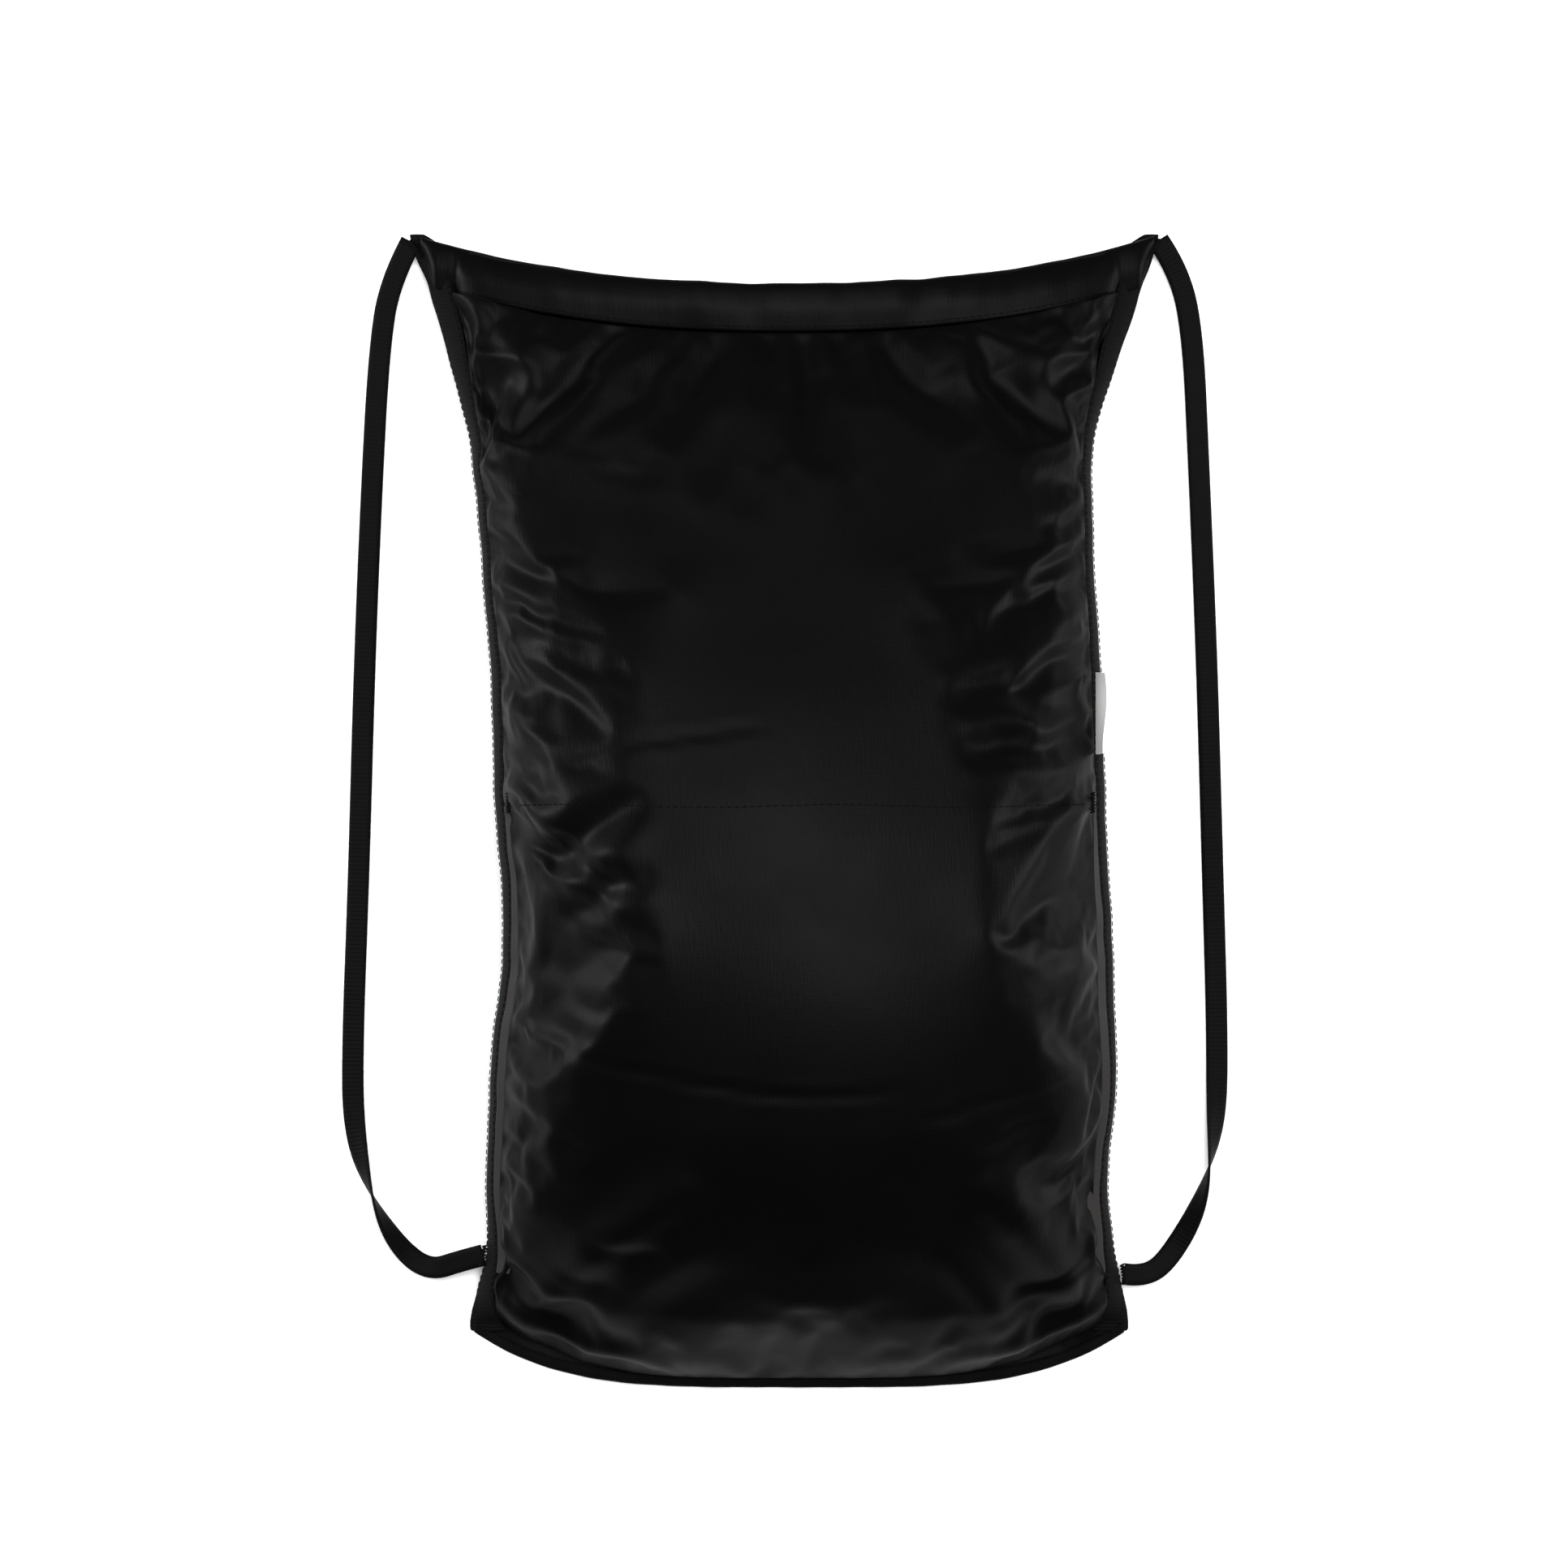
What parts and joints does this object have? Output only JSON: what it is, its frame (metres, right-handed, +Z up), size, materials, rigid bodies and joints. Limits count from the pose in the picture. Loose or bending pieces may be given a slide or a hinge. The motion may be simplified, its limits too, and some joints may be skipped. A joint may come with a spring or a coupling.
{
  "type": "drawstring backpack",
  "caption": "Lightweight nylon drawstring sack with flat webbing shoulder drawstrings, ribbed side tapes and a side-entry front pocket, lying packed on its back.",
  "frame": {"origin": "on the floor under the middle of the sack, which lies on its back; the free straps are not counted", "axes": "+X across the bag to the right as its front is seen, +Y from the bottom seam to the mouth, +Z up through the front"},
  "size_m": [0.4084, 0.5323, 0.1227],
  "materials": {
    "nylon": "soft satin",
    "grosgrain": "ribbed matt",
    "webbing": "woven matt",
    "facing": "smooth satin",
    "thread": "matt",
    "label": "woven satin"
  },
  "bodies": {
    "sack": {"front_panel": "nylon", "back_panel": "nylon", "pocket_lining": "nylon", "back_casing": "nylon", "left_side_tape": "grosgrain", "right_side_tape": "grosgrain", "bottom_binding": "grosgrain", "left_strap": "webbing", "right_strap": "webbing", "left_drawstring_back_run": "webbing", "right_drawstring_back_run": "webbing", "left_pocket_facing": "facing", "right_pocket_facing": "facing", "left_corner_tack": "thread", "right_corner_tack": "thread", "left_strap_tack": "thread", "right_strap_tack": "thread", "pocket_tacks": "thread"},
    "mouth_front": {"front_casing": "nylon", "left_drawstring_front_run": "webbing", "right_drawstring_front_run": "webbing"},
    "side_label": {"label": "label"}
  },
  "joints": [
    {"name": "mouth_open", "type": "hinge", "parent": "sack", "child": "mouth_front", "pos_m": [0, 0.256, 0.016], "axis": [-1, 0, 0], "range_deg": [-10, 35]},
    {"name": "label_flap", "type": "hinge", "parent": "sack", "child": "side_label", "pos_m": [0.1398, 0.0415, 0.0473], "axis": [0, 1, 0], "range_deg": [-5, 70], "stiffness_Nm_per_rad": 0.002}
  ]
}
